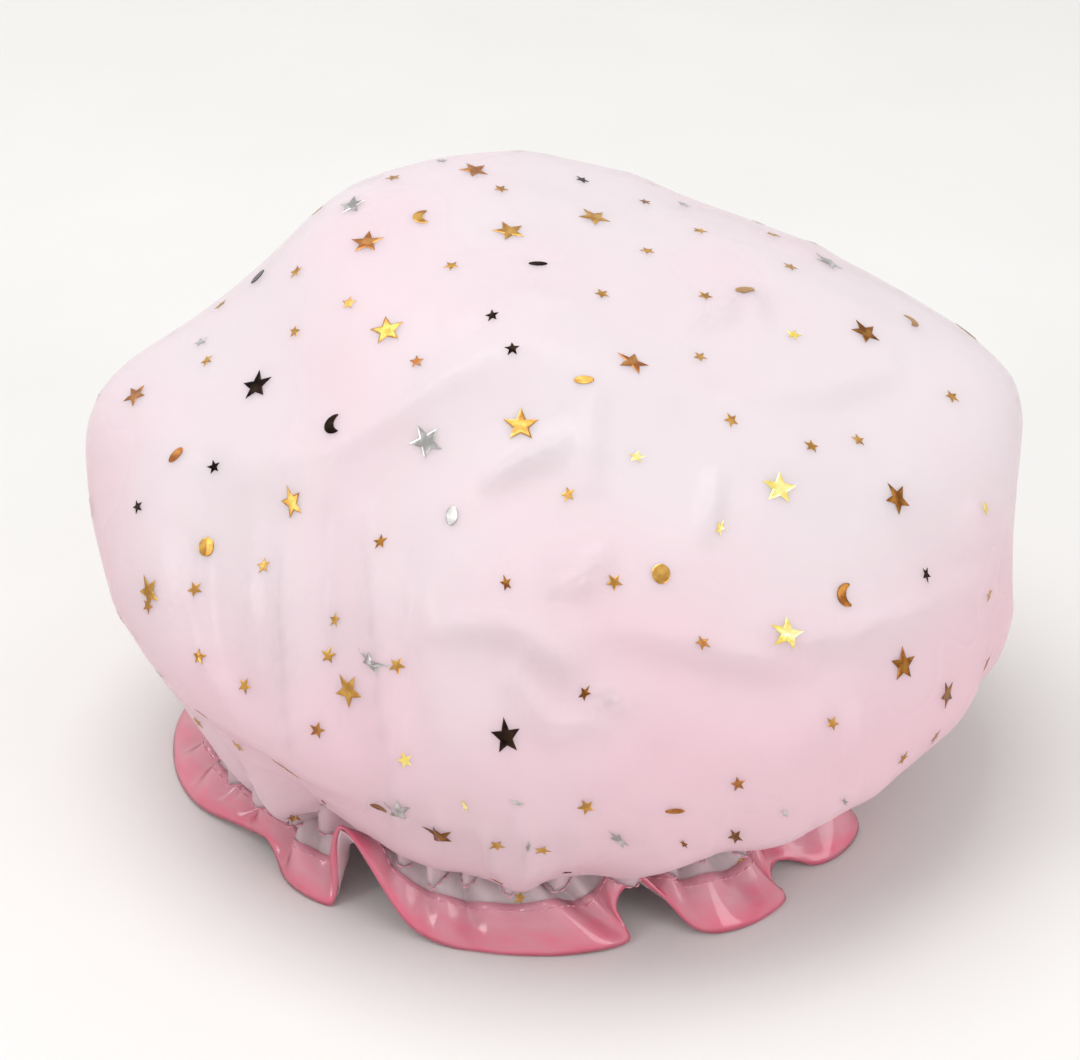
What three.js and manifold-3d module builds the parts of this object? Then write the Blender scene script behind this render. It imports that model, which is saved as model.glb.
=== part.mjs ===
// A bouffant shower cap, puffed out and standing on its ruffled hem.
//
// Two layers of soft film, an outer one and a lining, are gathered by an elastic that runs in a
// casing inside the neck. Below the elastic both layers flare out as a ruffle, whose edge is held
// in a folded binding. Foil stars, moons and dots are pressed onto the outer film.
//
// Millimetres, +Z up, the cap's left and right along X and its back at +Y. The origin is at the
// middle of the cap's outline, on the surface that the hem stands on.

import * as THREE from "three";
import { mergeVertices } from "three/addons/utils/BufferGeometryUtils.js";
import Module from "manifold-3d";

const wasm = await Module();
wasm.setup();

const TURN = 2 * Math.PI;

// The puffed-out crown.
const CAP_WIDTH = 265;
const CAP_DEPTH = 242;
const CAP_HEIGHT = 166;

// The film and the clearance kept between any two layers that lie on each other.
const FILM_WALL = 0.3;
const LAYER_GAP = 0.3;

// The neck, where the elastic gathers the film.
const NECK_RADIUS = 82;
const NECK_MIDDLE = 21;
const ELASTIC_WIDTH = 6;
const ELASTIC_WALL = 0.8;
const CASING_MARGIN = 3;
const TACK_WALL = 0.3;
const TACK_LENGTH = 12;
const THREAD_RADIUS = 0.25;
const STITCH_INSET = 0.35;

// The ruffle and the binding folded over its edge.
const RUFFLE_LENGTH = 28;
const BINDING_WIDTH = 12;
const BINDING_WALL = 0.4;
const BINDING_FOLD = 0.9;
const STANDING_FLAT = 0.5;

// The pressed foil. A radius is measured to a star's points.
const FOIL_WALL = 0.2;
const FOIL_GAP = 0.5;
const STAR_RADIUS = 4.8;
const MOON_RADIUS = 3.1;
const DOT_RADIUS = 2.6;

// Places round the cap are turns, from 0 at the right, through a quarter at the back.
// The crown is lofted through rings. Each has its middle, as shares of half the cap's width and
// depth from the neck's axis, and in eight directions its reach, as shares of the same halves, and
// its rise, as shares of the cap's height.
const APEX_SHARES = { middle: [-0.14, 0.32], rise: 1 };
const RING_SHARES = [
  {
    name: "crown",
    middle: [-0.05, 0.14],
    reach: [0.36, 0.36, 0.36, 0.36, 0.38, 0.36, 0.36, 0.36],
    rise: [0.93, 0.945, 0.99, 0.99, 0.96, 0.935, 0.92, 0.915],
  },
  {
    name: "shoulder",
    middle: [0.05, 0.05],
    reach: [0.68, 0.69, 0.66, 0.66, 0.66, 0.66, 0.62, 0.66],
    rise: [0.825, 0.84, 0.91, 0.89, 0.84, 0.79, 0.77, 0.77],
  },
  {
    name: "corner",
    middle: [0.05, 0.05],
    reach: [0.99, 0.92, 0.92, 0.84, 0.97, 0.88, 0.86, 0.88],
    rise: [0.69, 0.685, 0.71, 0.64, 0.675, 0.61, 0.59, 0.6],
  },
  {
    name: "fullest",
    middle: [0.05, 0.05],
    reach: [1, 1, 1, 0.97, 1, 0.98, 1, 1],
    rise: [0.47, 0.46, 0.45, 0.46, 0.53, 0.4, 0.38, 0.39],
  },
  {
    name: "lower",
    middle: [0.05, 0.05],
    reach: [0.98, 0.96, 0.95, 0.93, 0.93, 0.88, 0.96, 0.97],
    rise: [0.27, 0.26, 0.26, 0.26, 0.28, 0.3, 0.22, 0.23],
  },
  {
    name: "tuck",
    middle: [0.03, 0.03],
    reach: [0.84, 0.84, 0.84, 0.81, 0.79, 0.73, 0.83, 0.83],
    rise: [0.165, 0.165, 0.165, 0.165, 0.18, 0.19, 0.145, 0.175],
  },
];

// The ruffle swings out in a lobe between each two inward folds. A lobe begins at a fold, given as
// a share of a turn. From the neck, the fold reaches in and the lobe reaches out by shares of the
// ruffle's length. The fold's lift is a share of the height of the neck's foot, and the lobe leans
// over sideways by a share of its own span.
const LOBE_SHARES = [
  { fold: 0.06, foldReach: -0.24, foldLift: 0.35, lobeReach: 0.88, lean: 0.06 },
  { fold: 0.165, foldReach: -0.3, foldLift: 0.4, lobeReach: 0.79, lean: -0.05 },
  { fold: 0.268, foldReach: -0.18, foldLift: 0.3, lobeReach: 0.76, lean: 0.08 },
  { fold: 0.355, foldReach: -0.24, foldLift: 0.35, lobeReach: 0.82, lean: 0.04 },
  { fold: 0.435, foldReach: -0.12, foldLift: 0.3, lobeReach: 0.85, lean: -0.2 },
  { fold: 0.6, foldReach: 0.3, foldLift: 0.3, lobeReach: 0.46, lean: 0.25 },
  { fold: 0.655, foldReach: 0.3, foldLift: 1.6, lobeReach: 0.6, lean: 0.2 },
  { fold: 0.805, foldReach: 0.25, foldLift: 1, lobeReach: 0.8, lean: 0.12 },
  { fold: 0.882, foldReach: 0.4, foldLift: 0.3, lobeReach: 0.76, lean: 0.06 },
  { fold: 0.955, foldReach: -0.18, foldLift: 0.35, lobeReach: 0.85, lean: 0.05 },
];
const OVERHANG_SHARE = 0.05;
const BROAD_SHARE = 0.08;
const CROWDING_SHARE = 0.3;

// Foil is laid out on a flat field, seen from a point in front of the cap and above it. The point,
// the field's middle and its two directions are shares of the cap's width, depth and height. A
// piece of foil is a kind, its place as shares of the field from its left and top, and its own turn
// as a share of a turn.
const VIEWPOINT_SHARES = [-0.014, -2.737, 2.729];
const FIELD_MIDDLE_SHARES = [-0.014, 0.126, 0.319];
const FIELD_ACROSS_SHARES = [1.14, 0, 0];
const FIELD_UP_SHARES = [0, 0.624, 1.575];
const FIELD_PLACE_SHARES = [0.54, 0.53];
const FOIL_SHARES = [
  ["star", 0.509, 0.231, 0.05],
  ["star", 0.594, 0.217, 0.06],
  ["star", 0.367, 0.242, 0.01],
  ["star", 0.352, 0.205, 0.03],
  ["star", 0.387, 0.33, 0.04],
  ["star", 0.257, 0.385, 0.03],
  ["star", 0.135, 0.395, 0.15],
  ["star", 0.426, 0.441, 0.08],
  ["star", 0.521, 0.425, 0],
  ["star", 0.292, 0.502, 0.06],
  ["star", 0.632, 0.362, 0.12],
  ["star", 0.828, 0.262, 0.02],
  ["star", 0.865, 0.332, 0.03],
  ["star", 0.779, 0.488, 0.18],
  ["star", 0.897, 0.498, 0.09],
  ["star", 0.787, 0.633, 0.17],
  ["star", 0.903, 0.664, 0.02],
  ["star", 0.947, 0.694, 0.12],
  ["star", 0.149, 0.591, 0.07],
  ["star", 0.369, 0.661, 0.14],
  ["star", 0.348, 0.69, 0.1],
  ["star", 0.506, 0.736, 0.02],
  ["star", 0.439, 0.837, 0.08],
  ["star", 0.735, 0.836, 0.12],
  ["moon", 0.424, 0.217, 0.02],
  ["moon", 0.335, 0.424, 0.05],
  ["moon", 0.91, 0.321, 0.95],
  ["moon", 0.847, 0.595, 0],
  ["dot", 0.258, 0.277, 0],
  ["dot", 0.745, 0.29, 0],
  ["dot", 0.661, 0.574, 0],
  ["dot", 0.207, 0.547, 0],
  ["dot", 0.538, 0.264, 0],
];

// Sizes that follow from the ones above.
const HALF_WIDTH = CAP_WIDTH / 2;
const HALF_DEPTH = CAP_DEPTH / 2;
const NECK_HEIGHT = ELASTIC_WIDTH + 2 * CASING_MARGIN;
const NECK_TOP = NECK_MIDDLE + NECK_HEIGHT / 2;
const NECK_FOOT = NECK_MIDDLE - NECK_HEIGHT / 2;
const LAYERS = 2 * FILM_WALL + LAYER_GAP;
const LINING_IN = LAYERS;
const ELASTIC_OUT = LINING_IN + LAYER_GAP;
const ELASTIC_IN = ELASTIC_OUT + ELASTIC_WALL;
const TACK_OUT = ELASTIC_IN + LAYER_GAP;
const TACK_IN = TACK_OUT + TACK_WALL;
const CASING_OUT = TACK_IN + LAYER_GAP;

// How finely the film is divided: rows of points, each with a whole number of points to a lobe.
const LOBES = LOBE_SHARES.length;
const FINE = 9 * LOBES;
const STEP_SHARE = 1e-4;

// The crown, the neck and the ruffle are one sheet. A place on it is given by its way round, as a
// share of the whole, and by its way down: 0 at the apex, and then up to 1 down the crown, from 1
// to 2 down the neck and from 2 to 3 down the ruffle.
const DOWN_SHARES = { neckTop: 1, neckFoot: 2, edge: 3 };
const bindingDown = DOWN_SHARES.edge - BINDING_WIDTH / RUFFLE_LENGTH;

// The lobe at a way round, how far through it the place is, and the place's plain angle. Even ways
// round are crowded towards the folds, where the ruffle turns sharply.
function lobeAt(round) {
  const place = (((round % 1) + 1) % 1) * LOBES;
  const index = Math.min(Math.floor(place), LOBES - 1);
  const lobe = LOBE_SHARES[index];
  const next = LOBE_SHARES[(index + 1) % LOBES];
  const span = (((next.fold - lobe.fold) % 1) + 1) % 1;
  const even = place - index;
  const through = even - (CROWDING_SHARE * Math.sin(TURN * even)) / TURN;
  return { lobe, next, span, through, angle: (lobe.fold + span * through) * TURN };
}

function onCircle(radius, angle, height) {
  return new THREE.Vector3(radius * Math.cos(angle), radius * Math.sin(angle), height);
}

const apex = new THREE.Vector3(
  APEX_SHARES.middle[0] * HALF_WIDTH,
  APEX_SHARES.middle[1] * HALF_DEPTH,
  APEX_SHARES.rise * CAP_HEIGHT,
);

const ringCurves = RING_SHARES.map(({ middle, reach, rise }) => {
  const points = reach.map((share, i) => {
    const angle = (i / reach.length) * TURN;
    return new THREE.Vector3(
      (middle[0] + share * Math.cos(angle)) * HALF_WIDTH,
      (middle[1] + share * Math.sin(angle)) * HALF_DEPTH,
      rise[i] * CAP_HEIGHT,
    );
  });
  return new THREE.CatmullRomCurve3(points, true);
});

// A point of the crown, on the curve that runs from the apex down through every ring.
function crownPoint(round, down) {
  const turn = lobeAt(round).angle / TURN;
  const across = ringCurves[0].getPoint((turn + 0.5) % 1);
  const below = ringCurves.map((curve) => curve.getPoint(((turn % 1) + 1) % 1));
  const neck = [NECK_TOP, NECK_FOOT].map((z) => onCircle(NECK_RADIUS, turn * TURN, z));
  const meridian = new THREE.CatmullRomCurve3([across, apex, ...below, ...neck]);
  const spans = below.length + 1;
  return meridian.getPoint((1 + down * spans) / (spans + 2));
}

// A point of the ruffle. Its edge swings in and out, and its flanks lean over, as a ribbon that is
// longer than the circle it is sewn to does.
function rufflePoint(round, share) {
  const { lobe, next, span, through, angle } = lobeAt(round);
  const ease = (1 - Math.cos(Math.PI * through)) / 2;
  const outward = Math.sin(Math.PI * through) ** 1.5;
  const foldReach = lobe.foldReach + (next.foldReach - lobe.foldReach) * ease;
  const foldLift = lobe.foldLift + (next.foldLift - lobe.foldLift) * ease;
  const reach = RUFFLE_LENGTH * (foldReach + (lobe.lobeReach - foldReach) * outward);
  const edgeHeight = NECK_FOOT * foldLift * (1 - outward) ** 2;
  const sway =
    OVERHANG_SHARE * Math.sin(2 * TURN * through) -
    BROAD_SHARE * Math.sin(TURN * through) +
    lobe.lean * Math.sin(Math.PI * through) ** 2;
  return onCircle(
    NECK_RADIUS + reach * share,
    angle + sway * span * TURN * share,
    NECK_FOOT + (edgeHeight - NECK_FOOT) * share ** 1.3,
  );
}

function sheetPoint(round, down) {
  if (down <= DOWN_SHARES.neckTop) return crownPoint(round, Math.max(down, 0));
  if (down <= DOWN_SHARES.neckFoot) {
    const height = NECK_TOP - (down - DOWN_SHARES.neckTop) * NECK_HEIGHT;
    return onCircle(NECK_RADIUS, lobeAt(round).angle, height);
  }
  return rufflePoint(round, Math.min(down, DOWN_SHARES.edge) - DOWN_SHARES.neckFoot);
}

// The way down the sheet at a place, and the sheet's outward normal there.
function downwards(round, down) {
  return sheetPoint(round, down + STEP_SHARE).sub(sheetPoint(round, down - STEP_SHARE)).normalize();
}

function outwards(round, down) {
  const along = sheetPoint(round + STEP_SHARE, down).sub(sheetPoint(round - STEP_SHARE, down));
  return downwards(round, down).cross(along).normalize();
}

// A row of points round the cap, on the sheet moved outwards by a distance and downwards by another.
function sheetRow(down, count, out, further = 0) {
  return Array.from({ length: count }, (_, i) =>
    sheetPoint(i / count, down)
      .addScaledVector(outwards(i / count, down), out)
      .addScaledVector(downwards(i / count, down), further),
  );
}

function neckRow(inwards, height) {
  return Array.from({ length: FINE }, (_, i) =>
    onCircle(NECK_RADIUS - inwards, lobeAt(i / FINE).angle, height),
  );
}

// A closed surface, gathered row by row.
class Skin {
  points = [];
  faces = [];

  row(points) {
    const first = this.points.length;
    this.points.push(...points);
    return points.map((_, i) => first + i);
  }

  face(a, b, c, turned) {
    this.faces.push(...(turned ? [a, c, b] : [a, b, c]));
  }

  // A band of triangles between two closed rows. It faces outwards when the first row is the upper
  // one, and inwards when it is turned.
  band(upper, lower, turned = false) {
    let i = 0;
    let j = 0;
    while (i < upper.length || j < lower.length) {
      const lowerFirst = (j + 1) * upper.length <= (i + 1) * lower.length;
      const from = upper[i % upper.length];
      const to = lower[j % lower.length];
      if (lowerFirst && j < lower.length) {
        this.face(from, to, lower[(j + 1) % lower.length], turned);
        j += 1;
      } else {
        this.face(from, to, upper[(i + 1) % upper.length], turned);
        i += 1;
      }
    }
  }

  // A loop of rows, such as the corners of a section carried right round.
  loop(rows) {
    rows.forEach((row, i) => this.band(row, rows[(i + 1) % rows.length]));
  }

  fan(centre, row, turned = false) {
    row.forEach((point, i) => this.face(centre, point, row[(i + 1) % row.length], turned));
  }

  geometry() {
    const made = new THREE.BufferGeometry();
    made.setAttribute(
      "position",
      new THREE.Float32BufferAttribute(this.points.flatMap((p) => p.toArray()), 3),
    );
    made.setIndex(this.faces);
    return made;
  }
}

function solidOf(geometry) {
  const bare = geometry.clone();
  bare.deleteAttribute("normal");
  bare.deleteAttribute("uv");
  const merged = mergeVertices(bare);
  return new wasm.Manifold(
    new wasm.Mesh({
      numProp: 3,
      vertProperties: new Float32Array(merged.attributes.position.array),
      triVerts: new Uint32Array(merged.index.array),
    }),
  );
}

function geometryOf(solid) {
  const mesh = solid.getMesh();
  const made = new THREE.BufferGeometry();
  made.setAttribute("position", new THREE.BufferAttribute(mesh.vertProperties, mesh.numProp));
  made.setIndex(new THREE.BufferAttribute(mesh.triVerts, 1));
  return made;
}

// The rows of the film, and where a separate length of it ends. The outer film is one sheet, but it
// is kept as three lengths, so that each is simple enough to be hollow where bodies collide.
const CROWN_ROWS = [
  { down: 0.5 / (RING_SHARES.length + 1), count: LOBES },
  { down: 1 / (RING_SHARES.length + 1), count: 2 * LOBES },
  ...RING_SHARES.slice(1).map((_, i) => ({
    down: (i + 2) / (RING_SHARES.length + 1),
    count: 4 * LOBES,
  })),
];
const { neckTop, neckFoot, edge } = DOWN_SHARES;
const HEM_ROWS = [neckTop, neckFoot, bindingDown, edge].map((down) => ({ down, count: FINE }));
const FILM_ROWS = [...CROWN_ROWS, ...HEM_ROWS];
const WALL_START = 1 + RING_SHARES.findIndex(({ name }) => name === "corner");
const HEM_START = 1 + RING_SHARES.findIndex(({ name }) => name === "tuck");

// A length of one layer, with its outer face set in by a depth. It starts at the apex, or else at a
// row, just clear of the length above.
function filmLength(depth, start, end) {
  const skin = new Skin();
  const [outer, inner] = [depth, depth + FILM_WALL].map((inset, side) => {
    const turned = side === 1;
    const rows = FILM_ROWS.slice(start, end + 1).map(({ down, count }, i) =>
      skin.row(sheetRow(down, count, -inset, start > 0 && i === 0 ? LAYER_GAP : 0)),
    );
    rows.slice(1).forEach((row, i) => skin.band(rows[i], row, turned));
    if (start === 0) {
      const [centre] = skin.row([apex.clone().setZ(apex.z - inset)]);
      skin.fan(centre, rows[0], turned);
    }
    return rows;
  });
  skin.band(outer.at(-1), inner.at(-1));
  if (start > 0) skin.band(inner[0], outer[0]);
  return skin.geometry();
}

// The binding: one leg outside the ruffle, one inside, and a thicker fold round the edge.
const BINDING_OUT = LAYER_GAP + BINDING_WALL;
const BINDING_IN = -LAYERS - BINDING_OUT;

function bindingGeometry() {
  const skin = new Skin();
  const leg = (out) => [bindingDown, edge].map((down) => skin.row(sheetRow(down, FINE, out)));
  const past = (out, further) => skin.row(sheetRow(edge, FINE, out, further));
  const tip = past(-LAYERS / 2, LAYER_GAP + BINDING_FOLD);
  const sides = [
    [leg(BINDING_OUT), leg(LAYER_GAP), past(LAYER_GAP, LAYER_GAP), false],
    [leg(BINDING_IN), leg(-LAYERS - LAYER_GAP), past(-LAYERS - LAYER_GAP, LAYER_GAP), true],
  ];
  for (const [[top, low], [hiddenTop, hiddenLow], hiddenTip, turned] of sides) {
    skin.band(hiddenTop, top, turned);
    skin.band(top, low, turned);
    skin.band(low, tip, turned);
    skin.band(hiddenTop, hiddenLow, !turned);
    skin.band(hiddenLow, hiddenTip, !turned);
  }
  skin.band(sides[0][2], sides[1][2], true);
  return skin.geometry();
}

// The lowest of the binding is cut off flat, to stand on.
const uncutBinding = bindingGeometry();
uncutBinding.computeBoundingBox();
const standing = uncutBinding.boundingBox.min.z + STANDING_FLAT;

function standingBinding() {
  const block = new THREE.BoxGeometry(2 * CAP_WIDTH, 2 * CAP_DEPTH, CAP_HEIGHT);
  block.translate(0, 0, standing - CAP_HEIGHT / 2);
  return geometryOf(solidOf(uncutBinding).subtract(solidOf(block)));
}

// The elastic, and the casing that bridges it from the lining above it to the lining below.
function elasticGeometry() {
  const skin = new Skin();
  const top = NECK_MIDDLE + ELASTIC_WIDTH / 2;
  const bottom = NECK_MIDDLE - ELASTIC_WIDTH / 2;
  const corners = [
    [ELASTIC_OUT, top],
    [ELASTIC_OUT, bottom],
    [ELASTIC_IN, bottom],
    [ELASTIC_IN, top],
  ];
  skin.loop(corners.map(([inwards, height]) => skin.row(neckRow(inwards, height))));
  return skin.geometry();
}

function casingGeometry() {
  const skin = new Skin();
  const reach = NECK_HEIGHT / 2 - 4 * LAYER_GAP;
  const bridge = ELASTIC_WIDTH / 2 + LAYER_GAP;
  const corners = [
    [ELASTIC_OUT, reach],
    [CASING_OUT, bridge],
    [CASING_OUT, -bridge],
    [ELASTIC_OUT, -reach],
    [ELASTIC_OUT + FILM_WALL, -reach],
    [CASING_OUT + FILM_WALL, -bridge],
    [CASING_OUT + FILM_WALL, bridge],
    [ELASTIC_OUT + FILM_WALL, reach],
  ];
  skin.loop(corners.map(([inwards, up]) => skin.row(neckRow(inwards, NECK_MIDDLE + up))));
  return skin.geometry();
}

// The tack that joins the elastic's two ends, at the back of the neck.
function tackGeometry() {
  const half = TACK_LENGTH / NECK_RADIUS / 2;
  const shape = new THREE.Shape();
  shape.absarc(0, 0, NECK_RADIUS - TACK_OUT, TURN / 4 - half, TURN / 4 + half, false);
  shape.absarc(0, 0, NECK_RADIUS - TACK_IN, TURN / 4 + half, TURN / 4 - half, true);
  const height = ELASTIC_WIDTH - 2 * LAYER_GAP;
  const made = new THREE.ExtrudeGeometry(shape, { depth: height, bevelEnabled: false });
  return made.translate(0, 0, NECK_MIDDLE - height / 2);
}

// A row of stitches, as the thread that lies on the outside of what it sews.
function threadGeometry(rowAt) {
  const skin = new Skin();
  const corners = [0, 1, 2].map((i) => {
    const angle = (-i / 3) * TURN;
    return [THREAD_RADIUS * Math.cos(angle), -THREAD_RADIUS * Math.sin(angle)];
  });
  skin.loop(corners.map(([out, further]) => skin.row(rowAt(out, further))));
  return skin.geometry();
}

const THREAD_OUT = LAYER_GAP + THREAD_RADIUS;

function casingThread(side) {
  const height = NECK_MIDDLE + side * (NECK_HEIGHT / 2 - 2 * LAYER_GAP - THREAD_RADIUS);
  return threadGeometry((out, further) => neckRow(-THREAD_OUT - out, height - further));
}

function bindingThread() {
  const out = BINDING_OUT + THREAD_OUT;
  return threadGeometry((more, further) =>
    sheetRow(bindingDown, FINE, out + more, STITCH_INSET + further),
  );
}

// Outlines of the foil.
function starShape(radius) {
  const shape = new THREE.Shape();
  const notchShare = 0.42;
  for (let i = 0; i < 10; i += 1) {
    const reach = i % 2 ? radius * notchShare : radius;
    const angle = (i / 10) * TURN;
    shape.lineTo(reach * Math.cos(angle), reach * Math.sin(angle));
  }
  return shape;
}

function moonShape(radius) {
  const shape = new THREE.Shape();
  const opening = TURN / 7;
  const shiftShare = 0.45;
  const shift = shiftShare * radius;
  const horn = new THREE.Vector2(Math.cos(opening), Math.sin(opening)).multiplyScalar(radius);
  const inner = Math.hypot(horn.x - shift, horn.y);
  const turn = Math.atan2(horn.y, horn.x - shift);
  shape.absarc(0, 0, radius, opening, TURN - opening, false);
  shape.absarc(shift, 0, inner, TURN - turn, turn, true);
  return shape;
}

function dotShape(radius) {
  return new THREE.Shape().absarc(0, 0, radius, 0, TURN, false);
}

const FOIL = {
  star: { shape: starShape(STAR_RADIUS), colour: "gold" },
  moon: { shape: moonShape(MOON_RADIUS), colour: "gold" },
  dot: { shape: dotShape(DOT_RADIUS), colour: "gold" },
};

const COLOURS = {
  film: { color: 0xf6dce4, roughness: 0.35, metalness: 0 },
  lining: { color: 0xf3e4e8, roughness: 0.4, metalness: 0 },
  binding: { color: 0xe08aa2, roughness: 0.3, metalness: 0 },
  casing: { color: 0xf0cbd6, roughness: 0.45, metalness: 0 },
  elastic: { color: 0xf4f1ee, roughness: 0.8, metalness: 0 },
  thread: { color: 0xe8a9ba, roughness: 0.7, metalness: 0 },
  gold: { color: 0xd9a441, roughness: 0.25, metalness: 1 },
};
const materials = Object.fromEntries(
  Object.entries(COLOURS).map(([name, look]) => [name, new THREE.MeshStandardMaterial(look)]),
);

const cap = new THREE.Group();

function add(name, geometry, material) {
  const mesh = new THREE.Mesh(geometry, materials[material]);
  mesh.name = name;
  cap.add(mesh);
  return mesh;
}

const LAST_ROW = FILM_ROWS.length - 1;
const outerFilm = [
  add("outer_film_crown", filmLength(0, 0, WALL_START), "film"),
  add("outer_film_wall", filmLength(0, WALL_START, HEM_START), "film"),
  add("outer_film_ruffle", filmLength(0, HEM_START, LAST_ROW), "film"),
];
add("lining_film", filmLength(FILM_WALL + LAYER_GAP, 0, LAST_ROW), "lining");
add("edge_binding", standingBinding(), "binding");
add("elastic_band", elasticGeometry(), "elastic");
add("elastic_end_tack", tackGeometry(), "thread");
add("elastic_casing", casingGeometry(), "casing");
add("casing_stitches_upper", casingThread(1), "thread");
add("casing_stitches_lower", casingThread(-1), "thread");
add("binding_stitches", bindingThread(), "thread");

// The cap is set down on its binding's flat, with its outline centred on the origin.
const outline = new THREE.Box3().setFromObject(cap);
const middle = outline.getCenter(new THREE.Vector3());
cap.position.set(-middle.x, -middle.y, -standing);
cap.updateMatrixWorld(true);

// Each piece of foil lies flat on the film, where the line from the viewpoint to its place on the
// field first meets it.
const sizes = new THREE.Vector3(CAP_WIDTH, CAP_DEPTH, CAP_HEIGHT);
const inShares = (shares) => new THREE.Vector3(...shares).multiply(sizes);
const viewpoint = inShares(VIEWPOINT_SHARES);
const counts = {};
for (const [kind, fromLeft, fromTop, turn] of FOIL_SHARES) {
  const place = inShares(FIELD_MIDDLE_SHARES)
    .addScaledVector(inShares(FIELD_ACROSS_SHARES), fromLeft - FIELD_PLACE_SHARES[0])
    .addScaledVector(inShares(FIELD_UP_SHARES), FIELD_PLACE_SHARES[1] - fromTop);
  const line = new THREE.Raycaster(viewpoint, place.sub(viewpoint).normalize());
  const [hit] = line.intersectObjects(outerFilm);
  counts[kind] = (counts[kind] ?? 0) + 1;
  const name = `foil_${kind}_${String(counts[kind]).padStart(2, "0")}`;
  const { shape, colour } = FOIL[kind];
  const geometry = new THREE.ExtrudeGeometry(shape, {
    depth: FOIL_WALL,
    bevelEnabled: false,
    curveSegments: 8,
  });
  const foil = add(name, geometry.rotateZ(turn * TURN), colour);
  foil.position.copy(cap.worldToLocal(hit.point)).addScaledVector(hit.face.normal, FOIL_GAP);
  foil.up.copy(inShares(FIELD_UP_SHARES));
  foil.lookAt(cap.localToWorld(foil.position.clone().add(hit.face.normal)));
}

export default cap;
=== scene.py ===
# %% [markdown]
# # A puffed shower cap
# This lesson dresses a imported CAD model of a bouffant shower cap. The real cap is a circle of
# milky, pale pink film with foil stars on it. A lining lies inside it, an elastic gathers both
# layers to the size of a head, and what hangs past the elastic is a ruffle, whose edge is bound in
# a strip of stronger pink. The solids give the sizes, and this script adds what makes it look
# real: folds and gathers, a film that light comes through, stitches and foil.

import math

import bpy
import numpy as np
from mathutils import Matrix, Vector, noise
from mathutils.bvhtree import BVHTree


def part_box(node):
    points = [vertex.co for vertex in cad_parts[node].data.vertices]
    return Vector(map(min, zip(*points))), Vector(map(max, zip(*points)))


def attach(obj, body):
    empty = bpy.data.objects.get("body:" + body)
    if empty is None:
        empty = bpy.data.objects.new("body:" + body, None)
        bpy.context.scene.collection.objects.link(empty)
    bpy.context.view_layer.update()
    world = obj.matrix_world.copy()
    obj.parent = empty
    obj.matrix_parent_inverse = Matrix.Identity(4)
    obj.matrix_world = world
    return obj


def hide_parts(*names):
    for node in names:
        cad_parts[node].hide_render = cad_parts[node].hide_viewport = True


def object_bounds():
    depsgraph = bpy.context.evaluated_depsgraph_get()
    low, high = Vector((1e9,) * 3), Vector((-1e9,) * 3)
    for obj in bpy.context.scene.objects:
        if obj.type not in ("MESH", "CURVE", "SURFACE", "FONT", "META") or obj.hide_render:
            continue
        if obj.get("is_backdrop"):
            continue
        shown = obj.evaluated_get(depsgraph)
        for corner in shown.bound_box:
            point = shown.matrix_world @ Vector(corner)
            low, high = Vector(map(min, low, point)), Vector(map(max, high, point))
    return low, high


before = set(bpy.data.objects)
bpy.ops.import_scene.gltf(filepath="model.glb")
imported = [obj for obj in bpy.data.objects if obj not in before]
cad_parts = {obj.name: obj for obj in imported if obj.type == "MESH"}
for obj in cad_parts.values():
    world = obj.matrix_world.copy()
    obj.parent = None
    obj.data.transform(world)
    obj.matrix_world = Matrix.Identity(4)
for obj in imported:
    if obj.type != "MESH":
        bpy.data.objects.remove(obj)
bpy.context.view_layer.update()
MM = 0.001

# %% [markdown]
# ## The camera
# The camera goes first, because some folds and all the foil are placed by where they lie in the
# photograph. The photograph was taken from a little above, from in front of the cap. A long lens
# from 80 cm gives the same perspective. Its place could be dragged in by eye, but it was worked
# out from the outline of the cap, so it is typed in as numbers.

# %% Camera
PHOTO_WIDTH, PHOTO_HEIGHT = 1080, 1060
FOCAL_PIXELS = 2650
SENSOR = 36
VIEW_TARGET = np.array([-3.7, 30.6, 53]) * MM
VIEW_DISTANCE = 800 * MM
VIEW_RISE = math.radians(30)

view_forward = np.array([0, math.cos(VIEW_RISE), -math.sin(VIEW_RISE)])
view_up = np.array([0, math.sin(VIEW_RISE), math.cos(VIEW_RISE)])
view_right = np.array([1.0, 0, 0])
eye = VIEW_TARGET - VIEW_DISTANCE * view_forward

bpy.ops.object.camera_add(location=eye, rotation=(math.pi / 2 - VIEW_RISE, 0, 0))
camera = bpy.context.active_object
camera.name = "photo_camera"
camera.data.sensor_fit = "HORIZONTAL"
camera.data.sensor_width = SENSOR
camera.data.lens = SENSOR * FOCAL_PIXELS / PHOTO_WIDTH
bpy.context.scene.camera = camera


def on_photo(points):
    """Where points of the scene land in the photograph, in pixels."""
    ray = points - eye
    depth = ray @ view_forward
    across = PHOTO_WIDTH / 2 + FOCAL_PIXELS * (ray @ view_right) / depth
    return across, PHOTO_HEIGHT / 2 - FOCAL_PIXELS * (ray @ view_up) / depth


def sight_line(x, y):
    """The direction in which the camera sees a pixel of the photograph."""
    along = view_forward * FOCAL_PIXELS
    along = along + view_right * (x - PHOTO_WIDTH / 2) + view_up * (PHOTO_HEIGHT / 2 - y)
    return Vector(along / np.linalg.norm(along))


print("camera at", eye.round(3), "lens", round(camera.data.lens, 1))

# %% [markdown]
# ## Light
# The photograph has soft window light from the upper left and pale cloth all round, which fills
# every shadow. One broad lamp above and a bright world give the same. Two small, weak lamps in
# front make the highlights on the glossy parts. Together they light a surface so that a colour
# comes out about as it is written, and the colours below can be read off with a colour picker.

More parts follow.
